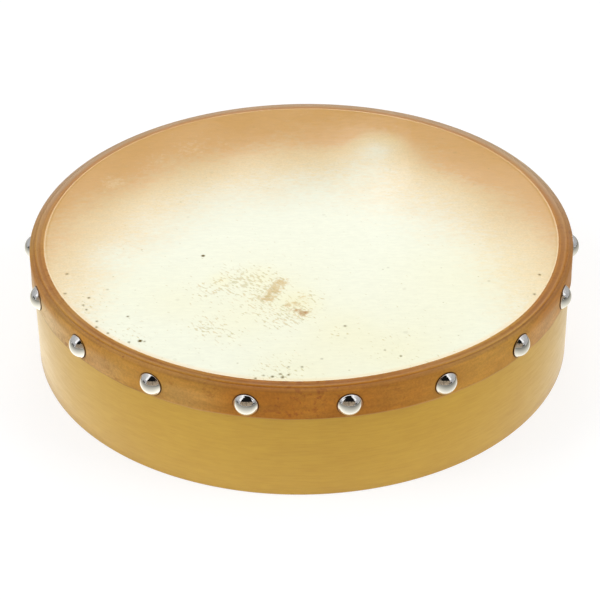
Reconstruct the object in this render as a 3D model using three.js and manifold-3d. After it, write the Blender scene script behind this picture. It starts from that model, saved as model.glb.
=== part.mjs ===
// Hand drum: a hoop of bent wood plies, a hide pulled over it, and dome-headed tacks through its skirt.
// Millimetres, +Z up. The origin is the centre of the shell's lower edge, so the drum stands on z = 0
// with its head up, and the front of the drum faces -Y.

import * as THREE from "three";
import { mergeVertices } from "three/addons/utils/BufferGeometryUtils.js";
import Module from "manifold-3d";

// Shell: plies bent to a hoop and glued one inside the other
const SHELL_RADIUS = 125;
const SHELL_DEPTH = 55.4;
const PLY_THICK = 1.8;
const GLUE_LINE = 0.15;
const LOWER_EDGE_ROUND = 0.6;
const BEARING_ROUND = 0.9;
const OUTER_PLY_DROP = 0.3;
const RIM_ROUND = 1.2;

// Scarf: the slanted joint where the two ends of a bent ply meet
const SCARF_LENGTH = 6;
const FIRST_SEAM_DEGREES = 170;
const SEAM_STEP_DEGREES = 120;

// Head: one hide that lies flat on the bearing edge and turns down over the rim into a skirt
const HIDE_THICK = 0.6;
const HIDE_SEAT = 0.15;
const SKIRT_DEPTH = 14.8;
const RIDGE_INSET = 2.6;

// Tacks: a stamped dome with a pointed shank
const TACK_COUNT = 18;
const TACK_DROP = 8.6;
const TACK_HEAD_DIAMETER = 11;
const TACK_DOME_HEIGHT = 3.8;
const TACK_SHEET = 0.7;
const TACK_SHANK_DIAMETER = 1.7;
const TACK_POINT_LENGTH = 2.4;
const TACK_TIP_COVER = 0.8;
const TACK_SEAT = 0.3;
const TACK_HOLE_CLEARANCE = 0.25;

// Facets of the round forms
const FACETS_PER_TACK = 5;
const TACK_FACETS = 12;
const HOLE_FACETS = 8;
const CORNER_STEPS = 3;
const DOME_STEPS = 5;
const DOME_UNDERSIDE_STEPS = 3;

// How far a cutting solid runs past the faces that it cuts
const CUT_OVERRUN = 3;

// Corners nearer than this are one corner
const MERGE_DISTANCE = 1e-4;

// Finishes, as seen on the drum
const LACQUERED_WOOD = { color: 0xc39a4c, roughness: 0.38, metalness: 0 };
const BARE_WOOD = { color: 0xcfae74, roughness: 0.7, metalness: 0 };
const HIDE = { color: 0xeadfbd, roughness: 0.55, metalness: 0 };
const CHROME = { color: 0xd9dade, roughness: 0.08, metalness: 1 };

// Worked out from the sizes above
const ringFacets = TACK_COUNT * FACETS_PER_TACK;
const plyPitch = PLY_THICK + GLUE_LINE;
const corePlyOuter = SHELL_RADIUS - plyPitch;
const innerPlyOuter = corePlyOuter - plyPitch;
const shellInner = innerPlyOuter - PLY_THICK;
const hideUnderside = SHELL_DEPTH + HIDE_SEAT;
const headTop = hideUnderside + HIDE_THICK;
const skirtInner = SHELL_RADIUS + HIDE_SEAT;
const skirtOuter = skirtInner + HIDE_THICK;
const tackHeight = headTop - TACK_DROP;
const tackPitch = (2 * Math.PI) / TACK_COUNT;

// Distance from the axis to the middle of a facet of a ring
const facetRadius = (radius) => radius * Math.cos(Math.PI / ringFacets);
const tackSeatRadius = facetRadius(skirtOuter) + TACK_SEAT;
const tackShankLength = tackSeatRadius - facetRadius(shellInner) - TACK_TIP_COVER;

const wasm = await Module();
wasm.setup();

// A closed geometry as a solid for cutting: shared corners merged, triangles without area left out
function solidOf(geometry) {
  const bare = geometry.clone();
  bare.deleteAttribute("normal");
  bare.deleteAttribute("uv");
  const merged = mergeVertices(bare, MERGE_DISTANCE);
  const corners = merged.getIndex().array;
  const triangles = [];
  for (let i = 0; i < corners.length; i += 3) {
    const [a, b, c] = corners.slice(i, i + 3);
    if (a !== b && b !== c && c !== a) {
      triangles.push(a, b, c);
    }
  }
  return new wasm.Manifold(
    new wasm.Mesh({
      numProp: 3,
      vertProperties: Float32Array.from(merged.getAttribute("position").array),
      triVerts: Uint32Array.from(triangles),
    }),
  );
}

// A cut solid back as a geometry
function geometryOf(solid) {
  const mesh = solid.getMesh();
  const geometry = new THREE.BufferGeometry();
  geometry.setAttribute("position", new THREE.BufferAttribute(mesh.vertProperties, 3));
  geometry.setIndex(new THREE.BufferAttribute(mesh.triVerts, 1));
  geometry.computeVertexNormals();
  return geometry;
}

// The solid left when every cutter is taken away
function cutAway(geometry, cutters) {
  let solid = solidOf(geometry);
  for (const cutter of cutters) {
    solid = solid.subtract(solidOf(cutter));
  }
  return geometryOf(solid);
}

// Points of an arc in a profile, from one angle to another, both ends included
function arc(centreX, centreY, radius, fromDegrees, toDegrees, steps) {
  const points = [];
  for (let i = 0; i <= steps; i += 1) {
    const angle = THREE.MathUtils.degToRad(fromDegrees + ((toDegrees - fromDegrees) * i) / steps);
    const x = centreX + radius * Math.cos(angle);
    const y = centreY + radius * Math.sin(angle);
    points.push(new THREE.Vector2(x, y));
  }
  return points;
}

// A profile of radius and height, run counter-clockwise, turned about the drum's axis
function turned(profile) {
  return new THREE.LatheGeometry(profile, ringFacets).rotateX(Math.PI / 2);
}

// One ply, turned from its section: plain where it is glued, rounded where an edge is open
function plyRing(outer, top, { lowerOuter = 0, upperOuter = 0, upperInner = 0, lowerInner = 0 }) {
  const inner = outer - PLY_THICK;
  const corner = (x, y, round, from) => {
    if (round === 0) {
      return [new THREE.Vector2(x, y)];
    }
    const middle = THREE.MathUtils.degToRad(from + 45);
    const reach = round * Math.SQRT2;
    const centreX = x - reach * Math.cos(middle);
    const centreY = y - reach * Math.sin(middle);
    return arc(centreX, centreY, round, from, from + 90, CORNER_STEPS);
  };
  const section = [
    ...corner(inner, 0, lowerInner, 180),
    ...corner(outer, 0, lowerOuter, 270),
    ...corner(outer, top, upperOuter, 0),
    ...corner(inner, top, upperInner, 90),
  ];
  return turned([...section, section[0].clone()]);
}

// The thin slanted gap where a ply's ends meet, from its inner face to its outer face
function scarfGap(outer, seamDegrees) {
  const inner = outer - PLY_THICK;
  const halfTurn = SCARF_LENGTH / (inner + outer);
  const start = new THREE.Vector2(inner * Math.sin(-halfTurn), -inner * Math.cos(halfTurn));
  const end = new THREE.Vector2(outer * Math.sin(halfTurn), -outer * Math.cos(halfTurn));
  const along = end.clone().sub(start).normalize();
  const across = new THREE.Vector2(-along.y, along.x).multiplyScalar(GLUE_LINE / 2);
  const first = start.clone().addScaledVector(along, -CUT_OVERRUN);
  const last = end.clone().addScaledVector(along, CUT_OVERRUN);
  const outline = new THREE.Shape([
    first.clone().sub(across),
    last.clone().sub(across),
    last.clone().add(across),
    first.clone().add(across),
  ]);
  return new THREE.ExtrudeGeometry(outline, { depth: SHELL_DEPTH + 2 * CUT_OVERRUN, bevelEnabled: false })
    .translate(0, 0, -CUT_OVERRUN)
    .rotateZ(THREE.MathUtils.degToRad(seamDegrees));
}

// Profile of a tack's shank from its point up to a height, wider and deeper by a clearance
function shankProfile(clearance, topHeight) {
  const radius = TACK_SHANK_DIAMETER / 2 + clearance;
  const tip = -tackShankLength - clearance;
  return [
    new THREE.Vector2(0, tip),
    new THREE.Vector2(radius, tip + TACK_POINT_LENGTH),
    new THREE.Vector2(radius, topHeight),
  ];
}

// Tack: a hollow dome of sheet metal, its rim on y = 0, with the shank pointing down -Y
function tackGeometry() {
  const rim = TACK_HEAD_DIAMETER / 2;
  const domeRadius = (rim ** 2 + TACK_DOME_HEIGHT ** 2) / (2 * TACK_DOME_HEIGHT);
  const centre = TACK_DOME_HEIGHT - domeRadius;
  const hollow = domeRadius - TACK_SHEET;
  const shank = TACK_SHANK_DIAMETER / 2;
  const rootDegrees = THREE.MathUtils.radToDeg(Math.acos(shank / hollow));
  const hollowRimDegrees = THREE.MathUtils.radToDeg(Math.asin(-centre / hollow));
  const rimDegrees = THREE.MathUtils.radToDeg(Math.asin(-centre / domeRadius));
  const root = centre + hollow * Math.sin(THREE.MathUtils.degToRad(rootDegrees));
  const underside = arc(0, centre, hollow, rootDegrees, hollowRimDegrees, DOME_UNDERSIDE_STEPS);
  const outside = arc(0, centre, domeRadius, rimDegrees, 90, DOME_STEPS);
  outside[DOME_STEPS].x = 0;
  const profile = [...shankProfile(0, root), ...underside.slice(1), ...outside];
  return new THREE.LatheGeometry(profile, TACK_FACETS);
}

// Angle of a tack round the drum, counted from the front; two tacks flank the front's middle
const tackAngle = (index) => (index + 0.5) * tackPitch;

// The hole that one shank needs through the hide and into the plies
function tackHole(index) {
  const profile = shankProfile(TACK_HOLE_CLEARANCE, CUT_OVERRUN);
  profile.push(new THREE.Vector2(0, CUT_OVERRUN));
  return new THREE.LatheGeometry(profile, HOLE_FACETS)
    .rotateZ(Math.PI)
    .translate(0, -tackSeatRadius, tackHeight)
    .rotateZ(tackAngle(index));
}

// Head: membrane, the turn over the rim, and the skirt, as one section from axis to axis
function headGeometry() {
  const step = corePlyOuter + HIDE_SEAT;
  const roundX = SHELL_RADIUS - RIM_ROUND;
  const roundY = SHELL_DEPTH - OUTER_PLY_DROP - RIM_ROUND;
  const skirtBottom = headTop - SKIRT_DEPTH;
  return turned([
    new THREE.Vector2(0, hideUnderside),
    new THREE.Vector2(step, hideUnderside),
    new THREE.Vector2(step, hideUnderside - OUTER_PLY_DROP),
    ...arc(roundX, roundY, RIM_ROUND + HIDE_SEAT, 90, 0, CORNER_STEPS),
    new THREE.Vector2(skirtInner, skirtBottom),
    new THREE.Vector2(skirtOuter, skirtBottom),
    ...arc(roundX, roundY, RIM_ROUND + HIDE_SEAT + HIDE_THICK, 0, 90, CORNER_STEPS),
    new THREE.Vector2(SHELL_RADIUS - RIDGE_INSET, headTop),
    new THREE.Vector2(0, headTop),
  ]);
}

// A named sub-part with its own material
function piece(name, geometry, finish) {
  const mesh = new THREE.Mesh(geometry, new THREE.MeshStandardMaterial(finish));
  mesh.name = name;
  return mesh;
}

const drum = new THREE.Group();
const tackHoles = Array.from({ length: TACK_COUNT }, (_, index) => tackHole(index));

// The outer ply stands a little lower than the others, so that the hide turns down in two easy steps
const plies = [
  {
    name: "shell_outer_ply",
    outer: SHELL_RADIUS,
    top: SHELL_DEPTH - OUTER_PLY_DROP,
    rounds: { lowerOuter: LOWER_EDGE_ROUND, upperOuter: RIM_ROUND },
    finish: LACQUERED_WOOD,
  },
  {
    name: "shell_core_ply",
    outer: corePlyOuter,
    top: SHELL_DEPTH,
    rounds: {},
    finish: BARE_WOOD,
  },
  {
    name: "shell_inner_ply",
    outer: innerPlyOuter,
    top: SHELL_DEPTH,
    rounds: { lowerInner: LOWER_EDGE_ROUND, upperInner: BEARING_ROUND },
    finish: BARE_WOOD,
  },
];

plies.forEach(({ name, outer, top, rounds, finish }, layer) => {
  const seam = scarfGap(outer, FIRST_SEAM_DEGREES + layer * SEAM_STEP_DEGREES);
  drum.add(piece(name, cutAway(plyRing(outer, top, rounds), [seam, ...tackHoles]), finish));
});

drum.add(piece("drum_head", cutAway(headGeometry(), tackHoles), HIDE));

for (let index = 0; index < TACK_COUNT; index += 1) {
  const station = new THREE.Group();
  station.rotation.z = tackAngle(index);
  const number = String(index + 1).padStart(2, "0");
  const tack = piece(`tack_${number}`, tackGeometry(), CHROME);
  tack.rotation.z = Math.PI;
  tack.position.set(0, -tackSeatRadius, tackHeight);
  station.add(tack);
  drum.add(station);
}

export default drum;
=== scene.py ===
# %% [markdown]
# # A hand drum with a nailed hide head
#
# A strip of wood is bent into a hoop, a wet hide is pulled over it and nailed all round with dome-headed
# tacks, and the hide dries tight. This lesson dresses the measured model of that drum: every piece is a
# surface worked out with numpy, and every finish is made of shader nodes. The model comes first, as a
# fixed frame that nothing here moves.

# %% Load the measured model
import math

import bpy
import numpy as np
from mathutils import Matrix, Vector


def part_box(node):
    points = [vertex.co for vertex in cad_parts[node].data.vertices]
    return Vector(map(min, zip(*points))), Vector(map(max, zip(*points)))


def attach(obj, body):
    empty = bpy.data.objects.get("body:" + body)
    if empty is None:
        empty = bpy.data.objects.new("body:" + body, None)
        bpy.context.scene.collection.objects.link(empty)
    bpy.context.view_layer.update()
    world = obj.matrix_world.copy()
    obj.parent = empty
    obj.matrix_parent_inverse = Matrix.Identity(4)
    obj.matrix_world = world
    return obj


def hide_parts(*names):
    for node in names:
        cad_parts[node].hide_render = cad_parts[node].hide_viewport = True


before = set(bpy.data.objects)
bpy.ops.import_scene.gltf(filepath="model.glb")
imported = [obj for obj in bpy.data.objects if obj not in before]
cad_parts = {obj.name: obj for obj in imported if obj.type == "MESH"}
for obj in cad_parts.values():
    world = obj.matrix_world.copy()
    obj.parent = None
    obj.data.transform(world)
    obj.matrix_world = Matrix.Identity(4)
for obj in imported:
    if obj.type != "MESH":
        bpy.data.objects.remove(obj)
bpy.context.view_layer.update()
print(len(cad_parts), "nodes in the model")

# %% [markdown]
# ## Camera
#
# The drum was photographed from the front and a little above with a long lens. The camera could be placed
# by eye, but the rim, the lower edge and the tacks fix it well, so it is given as an angle, a distance and
# a lens, and its three axes are worked out from these.

# %% Helpers: directions and objects
UP = np.array((0.0, 0.0, 1.0))


def unit(way):
    """A direction made one long."""
    return way / np.linalg.norm(way)


def way_out(turn, rise):
    """Directions away from the drum: turn goes round it from the front, -Y, and rise goes up from level."""
    return np.stack((np.cos(rise) * np.sin(turn), -np.cos(rise) * np.cos(turn), np.sin(rise)), axis=-1)


def add_object(name, data):
    """A new object in the scene that holds a mesh, a lens or a lamp."""
    made = bpy.data.objects.new(name, data)
    bpy.context.scene.collection.objects.link(made)
    return made


def aim(thing, right, up, back, place):
    """Puts a camera or a lamp at a place, with its own X, Y and Z axes along three directions."""
    pose = np.eye(4)
    pose[:3] = np.stack((right, up, back, place), axis=1)
    thing.matrix_world = Matrix(pose.tolist())


print("the front of the drum is", way_out(0.0, 0.0).round(1))

# %% Camera
MM = 0.001
PICTURE_PIXELS = 600
SENSOR_WIDTH = 36.0
LENS_PIXELS = 2111.7
CAMERA_RISE = math.radians(33.738)
CAMERA_TURN = math.radians(1.1)
CAMERA_ROLL = math.radians(-0.728)
CAMERA_DISTANCE = 1002.71 * MM
AIM_POINT = np.array((-0.91, -0.017, 17.516)) * MM

towards_camera = way_out(CAMERA_TURN, CAMERA_RISE)
level_right = unit(np.cross(-towards_camera, UP))
level_up = np.cross(towards_camera, level_right)
picture_right = math.cos(CAMERA_ROLL) * level_right + math.sin(CAMERA_ROLL) * level_up
picture_up = math.cos(CAMERA_ROLL) * level_up - math.sin(CAMERA_ROLL) * level_right
camera_place = AIM_POINT + CAMERA_DISTANCE * towards_camera

lens = bpy.data.cameras.new("camera")
lens.sensor_width = SENSOR_WIDTH
lens.lens = LENS_PIXELS / PICTURE_PIXELS * SENSOR_WIDTH
camera = add_object("camera", lens)
aim(camera, picture_right, picture_up, towards_camera, camera_place)
bpy.context.scene.camera = camera
bpy.context.scene.view_settings.view_transform = "Standard"
print("camera at", camera_place.round(3), "lens", round(lens.lens, 1), "mm")

# %% [markdown]
# ## Sizes
#
# The model's own boxes give the height of the head, the depth of the skirt and the radii. What a box can't
# tell, such as a wall or a rounding, is named once, where it is first needed.

# %% Sizes from the model
PLY_THICK = 1.8 * MM
HIDE_THICK = 0.6 * MM
TACK_COUNT = 18
TACK_STEP = 2 * math.pi / TACK_COUNT
TACK_DROP = 8.6 * MM


def round_radius(node):
    """Half the widest side of a round node's box, which is its radius."""
    low, high = (np.array(corner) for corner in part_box(node))
    return float((high - low)[:2].max() / 2)


HEAD_TOP = float(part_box("drum_head")[1][2])
SKIRT_LOW = float(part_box("drum_head")[0][2])
SKIRT_RADIUS = round_radius("drum_head")
TACK_HEIGHT = HEAD_TOP - TACK_DROP
PLY_RADII = {name: round_radius(name) for name in ("shell_outer_ply", "shell_core_ply", "shell_inner_ply")}
PLY_TOPS = {name: float(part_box(name)[1][2]) for name in PLY_RADII}
print("head top", round(HEAD_TOP, 4), "skirt", round(SKIRT_RADIUS, 4), "plies", PLY_RADII)

# %% [markdown]
# ## From a grid of points to a piece
#
# All pieces of this drum are round, so one helper serves them all: a stack of rings of points, each ring
# joined to the next. A hoop joins its last ring back to the first, as a tyre does. A disc or a dome ends
# in a single point at both ends instead. The faces are wound so that the volume inside comes out positive,
# which is the test that they point outwards.

# %% A skin over rings of points
def corner_volume(points, faces):
    """Six times the volume under a set of faces: the sum of a . (b x c) over their triangles."""
    a, b, c = (points[faces[:, k]] for k in range(3))
    total = np.einsum("ij,ij->", a, np.cross(b, c))
    if faces.shape[1] == 4:
        d = points[faces[:, 3]]
        total += np.einsum("ij,ij->", a, np.cross(c, d))
    return total


def skin_of_rings(name, rings, ends=None):
    """One closed mesh: point j of ring i is joined to its neighbours j+1 and i+1, and round again.
    With ends, a pair of points, the stack closes on these; without, its last ring meets its first."""
    rows, columns = rings.shape[:2]
    number = np.arange(rows * columns).reshape(rows, columns)
    here = number if ends is None else number[:-1]
    down = np.roll(number, -1, axis=0)[:len(here)]
    quads = np.stack((here, np.roll(here, -1, 1), np.roll(down, -1, 1), down), axis=-1).reshape(-1, 4)
    points = rings.reshape(-1, 3)
    caps = np.empty((0, 3), dtype=int)
    if ends is not None:
        points = np.vstack((points, ends))
        first, last = number[0], number[-1]
        start, finish = np.full(columns, rows * columns), np.full(columns, rows * columns + 1)
        caps = np.vstack((
            np.stack((start, np.roll(first, -1), first), axis=1),
            np.stack((finish, last, np.roll(last, -1)), axis=1),
        ))
    if corner_volume(points, quads) + corner_volume(points, caps) < 0:
        quads, caps = quads[:, ::-1], caps[:, ::-1]
    mesh = bpy.data.meshes.new(name)
    mesh.from_pydata(points.tolist(), [], quads.tolist() + caps.tolist())
    mesh.validate()
    mesh.polygons.foreach_set("use_smooth", np.ones(len(mesh.polygons), dtype=bool))
    mesh.update()
    print(name, "has", len(quads) * 2 + len(caps), "triangles")
    return add_object(name, mesh)


unit_corner = corner_volume(np.eye(3), np.array(((0, 1, 2),)))
print("six times the volume of a unit corner:", unit_corner)

# %% Profiles, and fitting a piece to the model
def straight(start, end, count):
    """Points from start towards end at even steps, without the end itself."""
    share = np.arange(count)[:, None] / count
    return np.array(start) * (1 - share) + np.array(end) * share


def arc(centre, radius, from_degrees, to_degrees, count):
    """Points on a circle from one angle to another, both included."""
    angle = np.radians(np.linspace(from_degrees, to_degrees, count))
    return np.array(centre) + radius * np.stack((np.cos(angle), np.sin(angle)), axis=1)


def turned(radius, height, angle):
    """A profile of radius and height carried round the drum's axis: angle 0 is the front, towards -Y."""
    height = np.broadcast_to(height, radius.shape)
    return np.stack((radius * np.sin(angle), -radius * np.cos(angle), height), axis=-1)


def fit_piece(piece, node, finish):
    """The piece stands for a node of the model, moves with the drum and wears a finish."""
    piece.data.materials.append(finish)
    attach(piece, "root")
    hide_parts(node)


print("a quarter arc runs to", arc((0.0, 0.0), 1.0, 0, 90, 7)[-1].round(3))

# %% [markdown]
# ## Shader helpers
#
# A finish is a web of small nodes. Building it by hand in the editor is fine for one drum; in a script, a
# few short helpers keep each line readable. A value that is a socket gets linked, anything else is set.

# %% Helpers: nodes and arithmetic
def srgb(red, green, blue):
    """A colour as a colour picker reads it, 0 to 255, turned into the linear light that Blender uses."""
    share = np.array((red, green, blue)) / 255
    linear = np.where(share <= 0.04045, share / 12.92, ((share + 0.055) / 1.055) ** 2.4)
    return (*linear.tolist(), 1.0)


def join(tree, value, socket):
    """Links a socket, or sets a plain value."""
    if isinstance(value, bpy.types.NodeSocket):
        tree.links.new(value, socket)
    else:
        socket.default_value = value


def put(tree, kind, values=None, **options):
    """Adds a node, sets its options, and links or sets each input named in values."""
    made = tree.nodes.new(kind)
    for option, value in options.items():
        setattr(made, option, value)
    for name, value in (values or {}).items():
        join(tree, value, made.inputs[name])
    return made


def maths(tree, operation, *operands):
    """One step of arithmetic on values."""
    made = put(tree, "ShaderNodeMath", operation=operation)
    for socket, value in zip(made.inputs, operands):
        join(tree, value, socket)
    return made.outputs["Value"]


def plus(tree, first, *others):
    """Values added up."""
    for other in others:
        first = maths(tree, "ADD", first, other)
    return first


def times(tree, first, *others):
    """Values multiplied."""
    for other in others:
        first = maths(tree, "MULTIPLY", first, other)
    return first


def minus(tree, first, other):
    """One value less another."""
    return maths(tree, "SUBTRACT", first, other)


print("mid grey, 128, is", round(srgb(128, 128, 128)[0], 3), "in linear light")

# %% Helpers: places, noise and colours
def split(tree, place):
    """The X, Y and Z of a place."""
    return put(tree, "ShaderNodeSeparateXYZ", {"Vector": place}).outputs


def build_place(tree, x, y, z=0.0):
    """A place from its X, Y and Z."""
    return put(tree, "ShaderNodeCombineXYZ", {"X": x, "Y": y, "Z": z}).outputs["Vector"]


def length(tree, vector):
    """The square root of x, y and z squared and added up."""
    return put(tree, "ShaderNodeVectorMath", {"Vector": vector}, operation="LENGTH").outputs["Value"]


def stretch(tree, place, scale, turn=0.0):
    """A place scaled by three numbers, and turned about Z first."""
    spun = put(tree, "ShaderNodeMapping", {"Vector": place, "Rotation": (0.0, 0.0, turn)}).outputs["Vector"]
    return put(tree, "ShaderNodeMapping", {"Vector": spun, "Scale": scale}).outputs["Vector"]


def noise(tree, place, scale, detail=3.0, roughness=0.5):
    """Blender's smooth noise, about 0.5 with hills and hollows."""
    values = {"Vector": place, "Scale": scale, "Detail": detail, "Roughness": roughness}
    return put(tree, "ShaderNodeTexNoise", values).outputs["Fac"]


def ease(tree, value, low, high, start=0.0, end=1.0):
    """A soft step: start below low, end above high, a smooth curve between."""
    limits = {"Value": value, "From Min": low, "From Max": high, "To Min": start, "To Max": end}
    return put(tree, "ShaderNodeMapRange", limits, interpolation_type="SMOOTHSTEP").outputs["Result"]


def blend(tree, amount, under, over, kind="MIX"):
    """Two colours mixed by an amount."""
    made = put(tree, "ShaderNodeMix", data_type="RGBA", blend_type=kind)
    for index, value in ((0, amount), (6, under), (7, over)):
        join(tree, value, made.inputs[index])
    return made.outputs[2]


def painted(tree, colour, coats):
    """A colour under several coats of paint, each with its mask and how much of it shows."""
    for mask, amount, paint in coats:
        colour = blend(tree, times(tree, mask, amount), colour, paint)
    return colour


print("helpers for places, noise and colours are ready")

# %% Helpers: groups and finishes
def new_group(name, inputs, outputs):
    """A node group with named sockets. Returns its tree, its inputs by name and its output node."""
    tree = bpy.data.node_groups.new(name, "ShaderNodeTree")
    for label, kind in inputs:
        tree.interface.new_socket(label, in_out="INPUT", socket_type=kind)
    for label in outputs:
        tree.interface.new_socket(label, in_out="OUTPUT", socket_type="NodeSocketFloat")
    entry = tree.nodes.new("NodeGroupInput")
    return tree, entry.outputs, tree.nodes.new("NodeGroupOutput").inputs


def use_group(tree, group, values):
    """Places a node group in a material with its own values, and returns its outputs."""
    made = tree.nodes.new("ShaderNodeGroup")
    made.node_tree = group
    for name, value in values.items():
        join(tree, value, made.inputs[name])
    return made.outputs


def new_finish(name):
    """An empty material with its shader. Returns the material, its tree, its shader and object places."""
    finish = bpy.data.materials.new(name)
    finish.use_nodes = True
    tree = finish.node_tree
    shader = tree.nodes["Principled BSDF"]
    place = put(tree, "ShaderNodeTexCoord").outputs["Object"]
    return finish, tree, shader, place


def bump(tree, shader, height, strength, depth):
    """Fine relief: height times depth, felt by the light only."""
    values = {"Height": height, "Strength": strength, "Distance": depth}
    join(tree, put(tree, "ShaderNodeBump", values).outputs["Normal"], shader.inputs["Normal"])


print("materials before the first finish:", len(bpy.data.materials))

# %% [markdown]
# ## Effects that several finishes share
#
# Wood grain and hide fibres are both long thin streaks; pores in the wood, follicles in the hide and pits
# in the plating are all small specks; and every finish is a little cloudy. Each effect is a node group, so
# that it is built once and tuned by the numbers that a material gives it. The first group tells a finish
# where it is on the drum. No hand-pulled rim is quite round, so its rings give way a little in three soft
# spots, and the finish and the shape of the hide read the same three.

# %% Shared group: places round the drum
VECTOR = "NodeSocketVector"
FLOAT = "NodeSocketFloat"
RIM_SHIFTS = [(50, 0, 62, 0.9), (-28, 0, 44, -0.4), (180, 0, 110, -0.6)]


def gathered(tree, place, spots):
    """The sum of some spots: each is its amount at its middle and fades to 0 at its size."""
    fades = []
    for middle, size, amount in spots:
        gap = put(tree, "ShaderNodeVectorMath", {0: place, 1: middle}, operation="DISTANCE")
        fades.append(ease(tree, gap.outputs["Value"], 0.0, size, amount, 0.0))
    return plus(tree, *fades)


def on_skirt(spots):
    """Spots on the skirt: from degrees round the drum, millimetres below the head, size and amount."""
    return [((SKIRT_RADIUS * math.sin(math.radians(turn)), -SKIRT_RADIUS * math.cos(math.radians(turn)),
              HEAD_TOP - drop * MM), size * MM, amount) for turn, drop, size, amount in spots]


ROUND_PLACES, given, out = new_group(
    "round_places", [("Place", VECTOR)], ["Radius", "Ring", "Height", "Tack distance"])
tree = ROUND_PLACES
x, y, z = split(tree, given["Place"])
radius = length(tree, build_place(tree, x, y))
angle = maths(tree, "ARCTAN2", x, times(tree, y, -1.0))
step = minus(tree, maths(tree, "FRACT", maths(tree, "DIVIDE", angle, TACK_STEP)), 0.5)
sideways = times(tree, step, TACK_STEP * SKIRT_RADIUS)
upward = minus(tree, z, TACK_HEIGHT)
off_round = times(tree, gathered(tree, given["Place"], on_skirt(RIM_SHIFTS)), MM)
join(tree, radius, out["Radius"])
join(tree, minus(tree, radius, off_round), out["Ring"])
join(tree, z, out["Height"])
join(tree, length(tree, build_place(tree, sideways, upward)), out["Tack distance"])
print("places round the drum take", len(tree.nodes), "nodes")

# %% Shared groups: streaks, clouds and specks
FINE_STREAK_SCALE = 3.1

STREAKS, given, out = new_group("streaks", [("Place", VECTOR), ("Stretch", VECTOR)], ["Streak"])
drawn_out = put(STREAKS, "ShaderNodeVectorMath", {0: given["Place"], 1: given["Stretch"]},
                operation="MULTIPLY").outputs["Vector"]
broad = noise(STREAKS, drawn_out, 1.0, detail=2.0)
fine = noise(STREAKS, drawn_out, FINE_STREAK_SCALE, detail=3.0, roughness=0.6)
join(STREAKS, plus(STREAKS, times(STREAKS, broad, 0.6), times(STREAKS, fine, 0.4)), out["Streak"])

CLOUDS, given, out = new_group("clouds", [("Place", VECTOR), ("Scale", FLOAT)], ["Cloud"])
billows = noise(CLOUDS, given["Place"], given["Scale"], detail=4.0, roughness=0.55)
join(CLOUDS, ease(CLOUDS, billows, 0.3, 0.7), out["Cloud"])

SPECKS, given, out = new_group(
    "specks", [("Place", VECTOR), ("Scale", FLOAT), ("Size", FLOAT), ("Share", FLOAT)], ["Speck"])
cells = put(SPECKS, "ShaderNodeTexVoronoi", {"Vector": given["Place"], "Scale": given["Scale"]}).outputs
lot = put(SPECKS, "ShaderNodeSeparateColor", {"Color": cells["Color"]}).outputs
chosen = maths(SPECKS, "LESS_THAN", lot["Red"], given["Share"])
reach = times(SPECKS, given["Size"], plus(SPECKS, times(SPECKS, lot["Green"], 0.8), 0.4))
dot = ease(SPECKS, maths(SPECKS, "DIVIDE", cells["Distance"], reach), 0.4, 1.0, 1.0, 0.0)
join(SPECKS, times(SPECKS, dot, chosen), out["Speck"])


def streaks(tree, place, scales):
    """Long thin streaks, about 0.5: a place drawn out by three scales, read by a broad and a fine noise."""
    return use_group(tree, STREAKS, {"Place": place, "Stretch": scales})["Streak"]


def clouds(tree, place, scale):
    """Soft patches from 0 to 1, about one over scale metres wide."""
    return use_group(tree, CLOUDS, {"Place": place, "Scale": scale})["Cloud"]


def specks(tree, place, scale, size, share):
    """Small dots in a share of the cells of a pattern. size is a part of a cell's width."""
    return use_group(tree, SPECKS, {"Place": place, "Scale": scale, "Size": size, "Share": share})["Speck"]


print("shared groups", [group.name for group in bpy.data.node_groups])

# %% [markdown]
# ## The hide's finish
#
# The head is goat skin, scraped and dried. In the middle it is a pale cream with long fibres, and towards
# the back and the sides it stays tan. The cream oval is partly the skin's own paler colour and partly a
# painted sheen: the broad shine of the lamps behind the drum, painted into the colour. A picture of a real
# skin could be wrapped on; here an oval that is frayed by clouds, fibres and grain parts the cream from the
# tan, which holds up at any distance.

# %% Hide: colours and spots
# The cream is the skin's paler colour with a painted sheen of the lamps behind the drum mixed into it.
HIDE_CREAM_AND_SHEEN = srgb(212, 214, 188)
HIDE_TAN = srgb(205, 156, 83)
HIDE_STRAW = srgb(212, 184, 110)
HIDE_EDGE = srgb(222, 186, 124)
PALE_AND_SHEEN_CENTRE = np.array((0.0, -105.0)) * MM
PALE_AND_SHEEN_RADII = np.array((127.0, 181.0)) * MM
PALE_AND_SHEEN_EDGE = (0.64, 1.17)
# The first three spots are a painted highlight, the glint of the small lamp behind the drum, laid in as paler
# skin; the rest, some negative, move the edge of the painted sheen.
PALE_AND_GLINT_SPOTS = [
    (37, 79, 20, 0.5), (34, 62, 30, 0.4), (12, 48, 34, 0.1), (-90, -20, 22, 0.22), (15, 87, 20, -0.16),
    (84, 56, 30, -0.2), (-34, 74, 40, -0.09), (-72, 48, 24, -0.1), (0, 80, 14, -0.06),
]


def spread(tree, value, width):
    """A value about 0.5, made to swing by half of width either way about 0."""
    return times(tree, minus(tree, value, 0.5), width)


def tinted(tree, colour, value, low, high):
    """A colour made darker and lighter, from low to high times, as a value goes from 0.3 to 0.7."""
    shade = ease(tree, value, 0.3, 0.7, low, high)
    grey = put(tree, "ShaderNodeCombineColor", {"Red": shade, "Green": shade, "Blue": shade})
    return blend(tree, 1.0, colour, grey.outputs["Color"], "MULTIPLY")


def on_head(spots):
    """Spots on the head: from x, y, size and amount, in millimetres, to a place, a size and an amount."""
    return [((x * MM, y * MM, HEAD_TOP), size * MM, amount) for x, y, size, amount in spots]


print("the brightest spot lies at", np.round(on_head(PALE_AND_GLINT_SPOTS)[0][0], 3))

# %% Hide: pale middle and tan border
FIBRE_SCALES = (240.0, 760.0, 400.0)
GRAIN_STRETCH = (0.6, 1.0, 1.0)
WARM_EDGE_RADII = (116.0 * MM, 118.6 * MM)

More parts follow.
